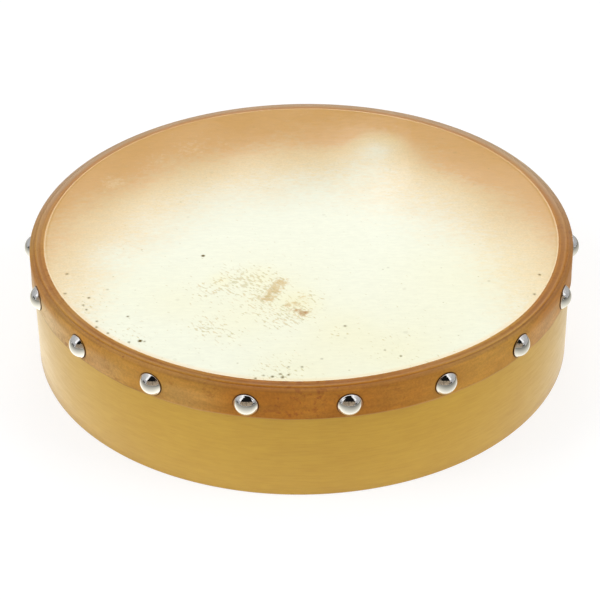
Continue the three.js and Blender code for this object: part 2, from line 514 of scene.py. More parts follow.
hide, tree, shader, place = new_finish("goat_hide")
cloud = clouds(tree, place, scale=18.0)
fibre = streaks(tree, place, FIBRE_SCALES)
grain = noise(tree, stretch(tree, place, GRAIN_STRETCH), scale=560.0, detail=4.0, roughness=0.6)
shares = put(tree, "ShaderNodeMapping", {
    "Vector": place,
    "Location": (*(-PALE_AND_SHEEN_CENTRE / PALE_AND_SHEEN_RADII).tolist(), 0.0),
    "Scale": (*(1 / PALE_AND_SHEEN_RADII).tolist(), 0.0),
}).outputs["Vector"]
ragged = plus(tree, spread(tree, cloud, width=0.06), spread(tree, fibre, width=0.14),
              spread(tree, grain, width=0.17))
# Painted sheen: this pale oval is partly paler skin and partly the shine of the lamps behind the drum,
# painted into the colour; the straw and pebbly tints follow its edge.
pale_and_sheen = ease(tree, plus(tree, length(tree, shares), ragged), *PALE_AND_SHEEN_EDGE, 1.0, 0.0)
# The spots add the painted highlight of the glint to the pale oval.
pale_and_sheen = maths(tree, "MINIMUM", plus(tree, pale_and_sheen, gathered(tree, place, on_head(PALE_AND_GLINT_SPOTS))), 1.0)
half_way = times(tree, pale_and_sheen, maths(tree, "POWER", minus(tree, 1.0, pale_and_sheen), 1.5))
pebbles = noise(tree, place, scale=1000.0, detail=3.0, roughness=0.7)
ring = use_group(tree, ROUND_PLACES, {"Place": place})["Ring"]
warm_edge = times(tree, ease(tree, ring, *WARM_EDGE_RADII), ease(tree, pale_and_sheen, 0.0, 1.0, 0.12, 0.5))
colour = blend(tree, pale_and_sheen, HIDE_TAN, HIDE_CREAM_AND_SHEEN)
colour = blend(tree, times(tree, half_way, 2.5), colour, HIDE_STRAW)
colour = blend(tree, times(tree, half_way, 5.0), colour, tinted(tree, colour, pebbles, 0.93, 1.06))
colour = blend(tree, warm_edge, colour, HIDE_EDGE)
colour = tinted(tree, colour, fibre, 0.955, 1.025)
print("plain hide has", len(tree.nodes), "nodes")

# %% [markdown]
# ## Marks in the hide
#
# Hair roots leave slanting dashes, pigment leaves a few brown patches left of the middle, and there are
# straw-coloured stains, pale flecks and dark specks; the pale flecks at the upper left are partly painted
# glints, where the shine of the lamps behind breaks up on a rough skin. Each mark could be painted by hand.
# Here lists say where each kind gathers, in millimetres from the middle, with a size and an amount, and
# noise draws the single dashes and blots there.

# %% Hide: where the marks lie
STROKE_SPOTS = [
    (-20, -44, 22, 0.5), (-30, -38, 16, 0.3), (-14, -62, 18, 0.36), (0, -70, 15, 0.5), (-10, -76, 13, 0.3),
    (4, -56, 12, 0.36), (-41, -50, 14, 0.4), (-40, -79, 14, 0.52), (-29, -86, 10, 0.34),
    (-25, -60, 60, 0.25), (-8, -113, 22, 0.48), (-76, -88, 24, 0.34), (-90, -60, 20, 0.3),
    (15, -83, 11, 0.36), (40, -92, 34, 0.22),
]
TAN_SPOTS = [
    (-7.5, -42, 7, 0.8), (-9.5, -47, 8, 0.9), (-12, -52, 7, 0.7), (-15, -57, 8, 0.9), (3, -55, 6, 0.6),
    (-3, -61, 8, 0.8), (2, -69, 9, 0.8),
]
BROWN_SPOTS = [(-3, -64.5, 5.5, 0.75), (1.5, -68, 5, 1.1), (-14, -56.5, 5, 0.45)]
STRAW_SPOTS = [
    (-26, -75, 26, 0.5), (-35, -42, 10, 1.0), (-19, -38, 14, 0.8), (-11, -52, 24, 0.6), (30, -86, 50, 0.6),
    (0, -114, 36, 0.9), (62, -92, 40, 0.4), (76, -42, 56, 0.85), (0, -61, 16, 1.2), (-18, -54, 56, 0.55),
    (-54, -62, 24, 0.4), (18, -82, 24, 0.65), (40, -101, 30, 0.6), (-74, -48, 40, 0.35),
]
# Where the pale flecks gather: partly paler fibres and partly painted glints of the lamps behind.
FLECK_AND_GLINT_SPOTS = [
    (-91, 44, 10, 0.9), (-57, 78, 12, 0.6), (-70, 66, 12, 0.4), (-74, 57, 10, 0.4), (-40, 84, 18, 0.4),
    (-64, 70, 36, 0.25), (-88, 46, 24, 0.2),
]
DARK_SPOTS = [
    (-44.5, -21.5, 1.3, 1.6), (-68.2, -89.3, 1.5, 1.3), (-66.2, -89.6, 0.9, 0.7), (-93.4, -55.8, 1.1, 0.9),
    (-93.6, -65.2, 1.0, 0.8), (-88.0, -78.8, 1.1, 0.7), (-75.0, -70.6, 1.0, 0.8), (-82.6, -83.4, 1.0, 0.8),
    (-95.4, -61.6, 1.0, 0.7), (-88.2, -74.2, 1.0, 0.8), (-72.9, -90.2, 1.0, 0.7), (-105.2, -36.4, 1.1, 0.7),
    (-104.4, -52.3, 1.2, 0.6), (-85.8, -49.2, 1.0, 0.4), (107.5, -37.8, 1.1, 0.8), (104.0, -53.6, 1.1, 0.8),
    (84.5, -42.8, 1.0, 0.4), (39.7, -31.7, 0.9, 0.4), (36.9, -96.4, 0.9, 0.5), (-17.7, -116.8, 1.0, 0.8),
    (-14.4, -114.8, 1.0, 0.6), (-10.6, -115.6, 1.3, 0.8), (-7.4, -113.8, 1.2, 0.7),
    (-6.4, -116.1, 1.4, 0.85), (-4.0, -114.4, 1.1, 0.7), (-4.0, -108.7, 0.9, 0.7), (1.7, -108.7, 1.0, 0.7),
    (10.0, -102.8, 1.0, 0.5), (20.0, -78.2, 1.2, 0.8), (43.6, -100.8, 1.0, 0.7),
]
print(len(STROKE_SPOTS), "places with hair roots and", len(DARK_SPOTS), "dark specks")

# %% Hide: hair roots, pigment, stains and specks
HAIR_ROOT_OLIVE = srgb(130, 120, 50)
HAIR_ROOT_GOLD = srgb(148, 136, 40)
PIGMENT_TAN = srgb(188, 154, 66)
PALE_FLECK_AND_GLINT = srgb(226, 198, 150)
PIGMENT_BROWN = srgb(168, 112, 6)
STAIN_STRAW = srgb(212, 203, 136)
SPECK_DARK = srgb(100, 80, 8)
HAIR_ROOT_TURN = math.radians(45.0)
HAIR_ROOT_STRETCH = (0.46, 1.0, 1.0)


def patchy(tree, value, place, spots, share):
    """A noise value raised by up to a share where the spots lie, so that its hills gather there."""
    near = maths(tree, "MINIMUM", gathered(tree, place, spots), 1.0)
    return plus(tree, value, times(tree, near, share))


slanted = stretch(tree, place, HAIR_ROOT_STRETCH, HAIR_ROOT_TURN)
hairs = noise(tree, slanted, scale=800.0, detail=2.0, roughness=0.55)
blots = noise(tree, place, scale=440.0, detail=4.0, roughness=0.75)
low_blots = minus(tree, 1.0, blots)
strokes = ease(tree, patchy(tree, hairs, place, on_head(STROKE_SPOTS), share=0.3), 0.66, 0.82)
tan_marks = ease(tree, patchy(tree, blots, place, on_head(TAN_SPOTS), share=0.36), 0.64, 0.94)
brown_marks = ease(tree, patchy(tree, blots, place, on_head(BROWN_SPOTS), share=0.42), 0.66, 1.0)
# Pale flecks, partly painted glints where the shine of the lamps behind breaks up on the rough skin.
flecks = ease(tree, patchy(tree, low_blots, place, on_head(FLECK_AND_GLINT_SPOTS), share=0.24), 0.6, 0.86)
freckles = specks(tree, place, scale=190.0, size=0.12, share=0.2)
faint_dots = specks(tree, place, scale=110.0, size=0.16, share=0.3)
dark_spots = gathered(tree, place, on_head(DARK_SPOTS))
small_cloud = clouds(tree, place, scale=210.0)
stroke_colour = blend(tree, times(tree, small_cloud, 0.75), HAIR_ROOT_GOLD, PIGMENT_TAN)
colour = painted(tree, colour, (
    (gathered(tree, place, on_head(STRAW_SPOTS)), 0.3, STAIN_STRAW),
    (flecks, 0.45, PALE_FLECK_AND_GLINT),
    (tan_marks, 0.85, PIGMENT_TAN),
    (brown_marks, 0.9, PIGMENT_BROWN),
    (strokes, 0.52, stroke_colour),
    (faint_dots, 0.15, HAIR_ROOT_OLIVE),
    (freckles, 0.36, HAIR_ROOT_OLIVE),
    (dark_spots, 1.0, SPECK_DARK),
))
join(tree, colour, shader.inputs["Base Color"])
satin = ease(tree, small_cloud, 0.0, 1.0, 0.08, 0.11)
dulled = plus(tree, satin, times(tree, brown_marks, 0.2), times(tree, tan_marks, 0.15),
              times(tree, dark_spots, 0.8))
join(tree, dulled, shader.inputs["Roughness"])
bump(tree, shader, plus(tree, grain, fibre), strength=0.3, depth=0.05 * MM)
print("head finish has", len(tree.nodes), "nodes")

# %% [markdown]
# ## The hide over the wood
#
# On the rim and the skirt the wood shows through the dried skin, which turns amber there, with golden,
# hazy and reddish patches and a fine mottle. The pale hazy patches, most at the sides and low down, are
# partly the skin's own haze and partly a painted sheen of the side lamps on the skirt. It could share one
# material with the head, but the two look so unlike that a second one is easier to read. Its patches are
# listed by degrees round the drum and millimetres below the head.

# %% Hide over the wood: amber with mottles
HIDE_ON_WOOD = srgb(174, 108, 26)
HIDE_GOLD = srgb(194, 146, 62)
HIDE_HAZE_AND_SHEEN = srgb(226, 194, 144)
SKIRT_RED_BROWN = srgb(132, 62, 22)
# Pale patches on the skirt: partly the skin's haze and partly a painted sheen of the side lamps.
HAZE_AND_SHEEN_PATCHES = [
    (-66, 12, 44, 1.3), (-44, 13, 24, 0.4), (62, 11, 36, 0.5), (88, 9, 26, 0.8), (150, 12, 40, 0.7),
    (-130, 9, 30, 0.5), (-24, 10, 26, 0.16),
]
GOLD_PATCHES = [
    (-36, 8, 34, 1.0), (-22, 10, 24, 0.9), (38, 8, 50, 0.9), (-95, 6, 40, 0.6), (120, 8, 40, 0.6),
    (-54, 2, 30, 1.0), (-86, 1, 30, 0.8), (48, 2, 32, 0.5),
]
RED_PATCHES = [(1, 9, 32, 1.1), (-50, 3, 20, 0.5), (90, 8, 30, 0.6), (-160, 9, 40, 0.8)]
HAZE_AND_SHEEN_HEIGHTS = (HEAD_TOP - 8.0 * MM, HEAD_TOP - 3.0 * MM)
SKIRT_STREAK_SCALES = (40.0, 40.0, 190.0)

amber_hide, tree, shader, place = new_finish("amber_hide")
here = use_group(tree, ROUND_PLACES, {"Place": place})
skirt_cloud = clouds(tree, place, scale=40.0)
skirt_streak = streaks(tree, place, SKIRT_STREAK_SCALES)
skirt_grain = noise(tree, place, scale=900.0, detail=3.0, roughness=0.7)
skirt_spots = specks(tree, place, scale=240.0, size=0.16, share=0.14)
mottle = ease(tree, noise(tree, place, scale=380.0, detail=4.0, roughness=0.62), 0.5, 0.68)
gold_zone = patchy(tree, times(tree, skirt_cloud, 0.3), place, on_skirt(GOLD_PATCHES), share=0.8)
red_zone = ease(tree, patchy(tree, skirt_cloud, place, on_skirt(RED_PATCHES), share=0.9), 0.4, 1.3)
low_part = ease(tree, here["Height"], *HAZE_AND_SHEEN_HEIGHTS, 1.0, 0.1)
# Painted sheen mixed with haze: pale patches, strongest low on the skirt.
haze_and_sheen = times(tree, gathered(tree, place, on_skirt(HAZE_AND_SHEEN_PATCHES)), low_part)
amber = painted(tree, HIDE_ON_WOOD, (
    (gold_zone, 0.8, HIDE_GOLD),
    (haze_and_sheen, 0.8, HIDE_HAZE_AND_SHEEN),
    (times(tree, mottle, red_zone), 0.6, SKIRT_RED_BROWN),
))
amber = tinted(tree, amber, skirt_streak, 0.86, 1.12)
amber = tinted(tree, amber, skirt_grain, 0.9, 1.1)
amber = blend(tree, times(tree, skirt_spots, 0.7), amber, SKIRT_RED_BROWN)
print("plain amber hide has", len(tree.nodes), "nodes")

# %% [markdown]
# ## The rim's bands, the cut edge and painted shadow
#
# Under the rim the sheets of wood end in steps, so the skin shows a dark land, a lighter ridge and a darker
# groove as rings of colour. Behind, it is paler, with a grey painted sheen on the land, and its corner is
# rubbed; below, the cut edge is light in front and carries a painted shadow at the sides; and a painted
# shadow rings each tack. Each is a mask made from the radius, the height or the distance to a tack, and a
# paint that the mask lets through.

# %% Hide over the wood: masks for the rim, the edge and the tacks
LAND_RADIUS = 121.0 * MM
RIDGE_RADIUS = 122.4 * MM
GROOVE_RADIUS = 123.5 * MM
TACK_SHADOW_RADII = (5.45 * MM, 5.95 * MM)
CUT_EDGE_HEIGHTS = (SKIRT_LOW + 0.1 * MM, SKIRT_LOW + 0.9 * MM)
RING_LINE_SCALES = (9.0, 9.0, 1500.0)
SKIRT_WAVE = 0.4 * MM
TRIM_SHARE = 0.9


def band(centre, half_width):
    """1 on a circle of the rim, fading to 0 at half_width either side."""
    gap = maths(tree, "ABSOLUTE", minus(tree, here["Ring"], centre))
    return ease(tree, gap, 0.0, half_width, 1.0, 0.0)


def below_top(low, high):
    """A soft step in height: 0 at low millimetres under the head's top, 1 at high."""
    return ease(tree, here["Height"], HEAD_TOP - low * MM, HEAD_TOP - high * MM)


def along(value, low, high, start=0.0, end=1.0):
    """A soft step in a length, with its two ends in millimetres."""
    return ease(tree, value, low * MM, high * MM, start, end)


sideways, rearward = split(tree, place)[:2]
ring_place = stretch(tree, build_place(tree, sideways, rearward, here["Ring"]), RING_LINE_SCALES)
# Painted shadow: a dark ring on the skin round each tack.
tack_shadow_ring = ease(tree, here["Tack distance"], *TACK_SHADOW_RADII, 1.0, 0.0)
# How strongly the rim's rings show: uneven along the streaks and weaker towards the back.
band_strength = times(tree, ease(tree, skirt_streak, 0.35, 0.62, 0.45, 1.0), along(rearward, -60, 90, 1.0, 0.45))
# Painted sheen: a grey shine of the white room on the rim's land at the back, painted into the colour.
back_edge_sheen = times(tree, along(rearward, -20, 60), along(here["Ring"], 119.6, 122.6), below_top(3.0, 1.5))
corner = times(tree, below_top(1.6, 0.4), along(here["Radius"], 123.4, 124.3))
back_rim = times(tree, along(rearward, -90, 115), below_top(4.0, 1.0))
squares = minus(tree, times(tree, sideways, sideways), times(tree, rearward, rearward))
trim_lift = times(tree, squares, SKIRT_WAVE * TRIM_SHARE / SKIRT_RADIUS ** 2)
above_cut = minus(tree, here["Height"], trim_lift)
cut_edge = ease(tree, above_cut, *CUT_EDGE_HEIGHTS, 1.0, 0.0)
# Painted shadow: the cut edge turns dark at the left and right sides, light in front.
shadowed_sides = plus(tree, along(sideways, -90, -50, 1.0, 0.0), along(sideways, 70, 105, 0.0, 0.7))
print("with its masks, amber hide has", len(tree.nodes), "nodes")

# %% Hide over the wood: the coats
HIDE_LAND = srgb(130, 76, 20)
HIDE_RIDGE = srgb(167, 123, 72)
HIDE_GROOVE = srgb(112, 64, 26)
HIDE_CUT_EDGE = srgb(206, 160, 96)
HIDE_BACK = srgb(196, 150, 96)
# The grey of the painted sheen on the back rim.
HIDE_BACK_EDGE_SHEEN = srgb(182, 160, 132)
HIDE_CORNER = srgb(118, 84, 56)
# The colour of the painted shadow along the cut edge at the sides.
CUT_EDGE_SHADOW = srgb(112, 74, 38)
# The colour of the painted shadow round each tack.
TACK_SHADOW = srgb(64, 36, 16)

ring_lines = tinted(tree, amber, noise(tree, ring_place, scale=1.0), 0.86, 1.12)
amber = blend(tree, below_top(2.0, 0.8), amber, ring_lines)
amber = painted(tree, amber, (
    (times(tree, band(LAND_RADIUS, 2.0 * MM), band_strength), 0.75, HIDE_LAND),
    (times(tree, band(RIDGE_RADIUS, 0.65 * MM), band_strength), 0.75, HIDE_RIDGE),
    (times(tree, band(GROOVE_RADIUS, 0.8 * MM), band_strength), 0.6, HIDE_GROOVE),
    (back_rim, 0.45, HIDE_BACK),
    (corner, 0.36, HIDE_CORNER),
    (back_edge_sheen, 0.7, HIDE_BACK_EDGE_SHEEN),
    (tack_shadow_ring, 0.95, TACK_SHADOW),
    (cut_edge, 0.65, blend(tree, shadowed_sides, HIDE_CUT_EDGE, CUT_EDGE_SHADOW)),
))
join(tree, amber, shader.inputs["Base Color"])
join(tree, ease(tree, skirt_cloud, 0.0, 1.0, 0.42, 0.56), shader.inputs["Roughness"])
shader.inputs["Specular IOR Level"].default_value = 0.22
bump(tree, shader, plus(tree, skirt_streak, times(tree, mottle, -0.3)), strength=0.3, depth=0.2 * MM)
print("amber hide finish has", len(tree.nodes), "nodes")

# %% [markdown]
# ## The wood's finishes
#
# The hoop is glued from thin sheets of pale wood whose grain runs round the drum, under a yellow satin
# lacquer. The grain could follow the angle round the hoop, but that leaves a seam at the back. Noise drawn
# out flat, with a tall Z scale and a small X and Y scale, gives the same long lines with no seam at all.

# %% Wood finishes
LACQUER_YELLOW = srgb(208, 164, 47)
LACQUER_GRAIN = srgb(190, 142, 30)
INNER_WOOD = srgb(206, 172, 116)
INNER_GRAIN = srgb(172, 130, 76)
CORE_WOOD = srgb(178, 138, 86)
CORE_GRAIN = srgb(140, 98, 56)
GRAIN_LINE_SCALES = (90.0, 90.0, 1000.0)
FIGURE_STRETCH = (1.0, 1.0, 0.5)
FLECK_STRETCH = (0.45, 0.45, 1.0)
PORE_STRETCH = (0.12, 0.12, 1.0)
LACQUER_ROUGHNESS = 0.22


def wood_finish(name, light, dark, dullness, coat):
    """Long grain lines, short dark pores and a cloudy figure, under a coat of lacquer."""
    finish, tree, shader, place = new_finish(name)
    lines = streaks(tree, place, GRAIN_LINE_SCALES)
    figure = clouds(tree, stretch(tree, place, FIGURE_STRETCH), scale=17.0)
    flecks = clouds(tree, stretch(tree, place, FLECK_STRETCH), scale=130.0)
    pores = specks(tree, stretch(tree, place, PORE_STRETCH), scale=900.0, size=0.3, share=0.3)
    amount = plus(tree, times(tree, ease(tree, lines, 0.35, 0.68), 0.38), times(tree, figure, 0.3),
                  times(tree, flecks, 0.16))
    colour = blend(tree, amount, light, dark)
    colour = blend(tree, times(tree, pores, 0.35), colour, dark)
    join(tree, colour, shader.inputs["Base Color"])
    join(tree, ease(tree, lines, 0.3, 0.7, *dullness), shader.inputs["Roughness"])
    shader.inputs["Coat Weight"].default_value = coat
    shader.inputs["Coat Roughness"].default_value = LACQUER_ROUGHNESS
    bump(tree, shader, minus(tree, lines, times(tree, pores, 0.4)), strength=0.1, depth=0.1 * MM)
    print(name, "has", len(tree.nodes), "nodes")
    return finish


lacquered_wood = wood_finish("lacquered_wood", LACQUER_YELLOW, LACQUER_GRAIN, dullness=(0.3, 0.4), coat=0.4)
inner_wood = wood_finish("inner_wood", INNER_WOOD, INNER_GRAIN, dullness=(0.5, 0.62), coat=0.0)
core_wood = wood_finish("core_wood", CORE_WOOD, CORE_GRAIN, dullness=(0.55, 0.7), coat=0.0)

# %% [markdown]
# ## The tacks' finish
#
# The tack heads are pressed steel with a bright plating. A plain mirror looks false: real plating has
# faint wipe marks and a few pits, and the plating here is darker and duller in a ring where the dome meets
# the hide.

# %% Tack finish
PLATING = srgb(245, 244, 243)
PLATING_DARK = srgb(120, 108, 96)
WIPE_STRETCH = (1.0, 1.0, 3.0)
BASE_RING_RADII = (SKIRT_RADIUS - 0.1 * MM, SKIRT_RADIUS + 0.3 * MM)

tack_metal, tree, shader, place = new_finish("tack_plating")
here = use_group(tree, ROUND_PLACES, {"Place": place})
wipe = clouds(tree, stretch(tree, place, WIPE_STRETCH), scale=240.0)
pits = specks(tree, place, scale=1400.0, size=0.2, share=0.12)
# A darker, duller ring on the plating where the dome meets the hide.
base_ring = ease(tree, here["Radius"], *BASE_RING_RADII, 1.0, 0.0)
dark_share = maths(tree, "MAXIMUM", times(tree, base_ring, 0.6), times(tree, pits, 0.5))
gloss = plus(tree, ease(tree, wipe, 0.2, 1.0, 0.05, 0.11), times(tree, base_ring, 0.25))
join(tree, blend(tree, dark_share, PLATING, PLATING_DARK), shader.inputs["Base Color"])
join(tree, gloss, shader.inputs["Roughness"])
shader.inputs["Metallic"].default_value = 1.0
bump(tree, shader, wipe, strength=0.05, depth=0.1 * MM)
print("tack finish has", len(tree.nodes), "nodes")

# %% [markdown]
# ## The wooden hoop
#
# Three sheets of wood lie one inside the other. Each could be a plain tube, but a real one has rounded
# edges and a joint. So each is a rounded strip carried round the axis, with a hairline groove where its two
# ends meet. The columns of the grid are crowded together at that joint, so that the groove is in the shape
# itself.

# %% Hoop plies
EDGE_ROUND = 0.6 * MM
TOP_ROUND = 0.9 * MM
GLUED_ROUND = 0.2 * MM
ROUND_STEPS = 7
FACE_STEPS = 16
PLY_COLUMNS = 720
JOINT_CROWDING = 0.93
JOINT_DEPTH = 0.22 * MM
JOINT_WIDTH = 0.2 * MM
FACE_SWELL = 0.05 * MM
SWELL_PHASE = 9000


def strip_outline(inner, outer, low, high, rounds):
    """A standing rectangle of radius and height whose four corners are arcs.
    rounds are the radii at the outer lower, outer upper, inner upper and inner lower corner."""
    a, b, c, d = rounds
    return np.vstack((
        arc((outer - a, low + a), a, -90, 0, ROUND_STEPS),
        straight((outer, low + a), (outer, high - b), FACE_STEPS)[1:],
        arc((outer - b, high - b), b, 0, 90, ROUND_STEPS),
        arc((inner + c, high - c), c, 90, 180, ROUND_STEPS),
        straight((inner, high - c), (inner, low + d), FACE_STEPS)[1:],
        arc((inner + d, low + d), d, 180, 270, ROUND_STEPS),
    ))


def ply(node, name, joint_degrees, rounds, finish):
    """A strip outline turned round the axis: radius = outline + small swells - a groove at the joint."""
    outer = PLY_RADII[node]
    outline = strip_outline(outer - PLY_THICK, outer, 0.0, PLY_TOPS[node], rounds)
    joint = math.radians(joint_degrees)
    even = np.arange(PLY_COLUMNS) * 2 * math.pi / PLY_COLUMNS
    angle = joint + even - JOINT_CROWDING * np.sin(even)
    from_joint = np.angle(np.exp(1j * (angle - joint))) * outer
    facing = np.sign(outline[:, :1] - outer + PLY_THICK / 2)
    swell = FACE_SWELL * (np.sin(5 * angle + outer * SWELL_PHASE) + 0.6 * np.sin(11 * angle + 2.0)) / 1.6
    groove = JOINT_DEPTH * np.exp(-(from_joint / JOINT_WIDTH) ** 2)
    radius = outline[:, :1] + np.minimum(swell, 0.0) - facing * groove
    fit_piece(skin_of_rings(name, turned(radius, outline[:, 1:], angle)), node, finish)


outer_rounds = (EDGE_ROUND, TOP_ROUND, GLUED_ROUND, GLUED_ROUND)
inner_rounds = (GLUED_ROUND, GLUED_ROUND, TOP_ROUND, EDGE_ROUND)
ply("shell_outer_ply", "hoop_outer_ply", 170.0, outer_rounds, lacquered_wood)
ply("shell_core_ply", "hoop_core_ply", 290.0, (GLUED_ROUND,) * 4, core_wood)
ply("shell_inner_ply", "hoop_inner_ply", 50.0, inner_rounds, inner_wood)

# %% [markdown]
# ## The hide head: its profile
#
# One skin covers the drum: flat in the middle, over a ridge and a groove where the sheets of wood end
# below it, round the rim, and down in a skirt that was trimmed by hand. It could be draped by a cloth
# simulation, but a dried hide is stiff and its marks are known, so its shape is written down. First comes
# a plain profile of radius and height, out along the top, down the skirt and back along the inside.

# %% Hide head: profile
WOOD_BEGINS = 119.0 * MM
RIDGE_RISE, RIDGE_WIDTH = 0.16 * MM, 0.6 * MM
GROOVE_DROP, GROOVE_WIDTH = 0.42 * MM, 0.42 * MM
BEND_DROP, BEND_WIDTH = 0.02 * MM, 0.6 * MM
CORNER_ROUND = 1.6 * MM
CORNER_DROP = 0.15 * MM
INSIDE_ROUND = 1.0 * MM
INSIDE_ROUND_DROP = 1.1 * MM
INSIDE_WALL_DROP = 1.6 * MM


def hill(value, centre, width):
    """A smooth hill: 1 at the centre, about a third at one width away."""
    return np.exp(-((value - centre) / width) ** 2)


def rim_height(radius):
    """The head's height by radius: level, a small drop at the wood's edge, a ridge and a groove."""
    return (HEAD_TOP - BEND_DROP * hill(radius, WOOD_BEGINS - BEND_WIDTH, BEND_WIDTH)
            + RIDGE_RISE * hill(radius, RIDGE_RADIUS, RIDGE_WIDTH)
            - GROOVE_DROP * hill(radius, GROOVE_RADIUS, GROOVE_WIDTH))


half_thick = HIDE_THICK / 2
cut_height = SKIRT_LOW + half_thick
corner_middle = SKIRT_RADIUS - CORNER_ROUND
inside_radius = SKIRT_RADIUS - HIDE_THICK
inside_corner = (inside_radius - INSIDE_ROUND, HEAD_TOP - HIDE_THICK - INSIDE_ROUND_DROP)
top_radius = np.concatenate((np.linspace(4.0, 116.0, 29), np.linspace(117.0, 124.0, 36))) * MM
under_radius = np.concatenate((np.linspace(123.0, 116.0, 8), np.linspace(110.0, 5.0, 8))) * MM
corner_rows = arc((corner_middle, HEAD_TOP - CORNER_DROP - CORNER_ROUND), CORNER_ROUND, 88, 0, 10)
profile = np.vstack((
    np.stack((top_radius, rim_height(top_radius)), axis=1),
    corner_rows,
    straight((SKIRT_RADIUS, corner_rows[-1, 1]), (SKIRT_RADIUS, cut_height), 26)[1:],
    arc((SKIRT_RADIUS - half_thick, cut_height), half_thick, 0, -180, 7),
    straight((inside_radius, cut_height), (inside_radius, HEAD_TOP - INSIDE_WALL_DROP), 10)[1:],
    arc(inside_corner, INSIDE_ROUND, 0, 90, 5),
    np.stack((under_radius, rim_height(under_radius) - HIDE_THICK), axis=1),
))
print("hide profile has", len(profile), "rings, the widest", round(float(profile[:, 0].max()), 4))

# %% [markdown]
# ## The hide head: what pulling and nailing did to it
#
# The plain profile is carried round the axis as two arrays, radius and height, and each trace of the work
# is added to them: a rim slightly off round, a corner worn down at the back, low swells, a wavy cut edge,
# a dimple and a pucker at each tack, and a skirt that stands off between the tacks. A sculpting brush
# could do it too, but a formula can be read and changed. The columns are crowded at the tacks.

# %% Hide head: rim, worn corner and swells
HIDE_COLUMNS = 720
TACK_CROWDING = 0.45
SHIFT_FROM, SHIFT_RAMP = 113 * MM, 5 * MM
SHIFT_TO, SHIFT_END = 124.8 * MM, 1.3 * MM
CORNER_WORN = 0.6 * MM
WORN_MIDDLE = math.radians(-165.0)
WORN_TURN_WIDTH = 0.8
WORN_WIDTH = 2.2 * MM
HEAD_SWELL = 0.03 * MM
SWELL_ENDS = 118 * MM


def rim_shift(x, y):
    """How far the rim's rings stand off from true circles: soft spots of RIM_SHIFTS, as in the finish."""
    total = np.zeros_like(x)
    for middle, size, amount in on_skirt(RIM_SHIFTS):
        share = np.clip(1 - np.hypot(x - middle[0], y - middle[1]) / size, 0, 1)
        total += amount * MM * share ** 2 * (3 - 2 * share)
    return total


def head_swell(x, y):
    """Low swells of a skin dried under tension: three waves that cross each other."""
    waves = np.sin(90 * x + 40 * y) + np.sin(70 * y - 55 * x + 1.0) + np.sin(150 * x - 20 * y + 2.0)
    return HEAD_SWELL * waves


even = np.arange(HIDE_COLUMNS) * 2 * math.pi / HIDE_COLUMNS
angle = even - TACK_CROWDING / TACK_COUNT * np.sin(TACK_COUNT * (even - TACK_STEP / 2))
radius, height = (np.repeat(profile[:, k:k + 1], HIDE_COLUMNS, axis=1) for k in range(2))
near_rim = np.clip((radius - SHIFT_FROM) / SHIFT_RAMP, 0, 1) * np.clip((SHIFT_TO - radius) / SHIFT_END, 0, 1)
radius += near_rim * rim_shift(radius * np.sin(angle), -radius * np.cos(angle))
worn_turn = np.angle(np.exp(1j * (angle - WORN_MIDDLE)))
from_corner = np.hypot(radius - SKIRT_RADIUS, height - HEAD_TOP)
worn = CORNER_WORN * hill(worn_turn, 0.0, WORN_TURN_WIDTH) * hill(from_corner, 0.0, WORN_WIDTH)
swell = head_swell(radius * np.sin(angle), -radius * np.cos(angle))
swell *= np.clip(1 - (radius / SWELL_ENDS) ** 6, 0, 1)
height += np.where(radius < corner_middle, swell, 0.0)
print("corner worn by up to", round(float(worn.max() / MM), 2), "mm")

# %% Hide head: skirt and tacks
SKIRT_BEGINS = HEAD_TOP - 3 * MM
DIMPLE_RADIUS = 5.9 * MM
DIMPLE_DEPTH = 0.16 * MM
PUCKER_RISE, PUCKER_GAP, PUCKER_WIDTH = 0.07 * MM, 1.3 * MM, 1.0 * MM
SKIRT_SWELL = 0.07 * MM
SKIRT_STAND_OFF = 0.18 * MM
OUTSIDE_SHARE = 0.7

down_skirt = np.clip((SKIRT_BEGINS - height) / (SKIRT_BEGINS - SKIRT_LOW), 0, 1)
down_skirt = np.where(radius > corner_middle, down_skirt, 0.0)
trim_wave = (np.sin(2 * angle - 1.57) * TRIM_SHARE + np.sin(7 * angle + 1.1) * 0.4 + np.sin(23 * angle) * 0.2
             + np.sin(61 * angle + 0.7) * 0.12)
height += SKIRT_WAVE * trim_wave * down_skirt ** 2
tack_side = (np.mod(angle, TACK_STEP) - TACK_STEP / 2) * SKIRT_RADIUS
tack_gap = np.hypot(tack_side, height - TACK_HEIGHT)
dimple = -DIMPLE_DEPTH * np.exp(-(tack_gap / DIMPLE_RADIUS) ** 6)
pucker = PUCKER_RISE * hill(tack_gap, DIMPLE_RADIUS + PUCKER_GAP, PUCKER_WIDTH)
stand_off = SKIRT_STAND_OFF * np.sin(tack_side / SKIRT_RADIUS * math.pi / TACK_STEP) ** 2 * down_skirt ** 3
lumps = SKIRT_SWELL * np.sin(31 * angle + 900 * height) * np.sin(13 * angle - 500 * height + 1.3)
outside_wall = radius > corner_middle + OUTSIDE_SHARE * CORNER_ROUND
radius += np.where(outside_wall, dimple + pucker + stand_off + lumps * np.sqrt(down_skirt), 0.0)
radius -= worn * math.sqrt(0.5)
height -= worn * math.sqrt(0.5)
print("skirt reaches out to", round(float(radius.max()), 4), "and down to", round(float(height.min()), 4))

# %% [markdown]
# ## The hide head: the piece
#
# The rings become one closed skin. The faces over the wood get the amber finish by a test of their radius,
# so no seam is cut.

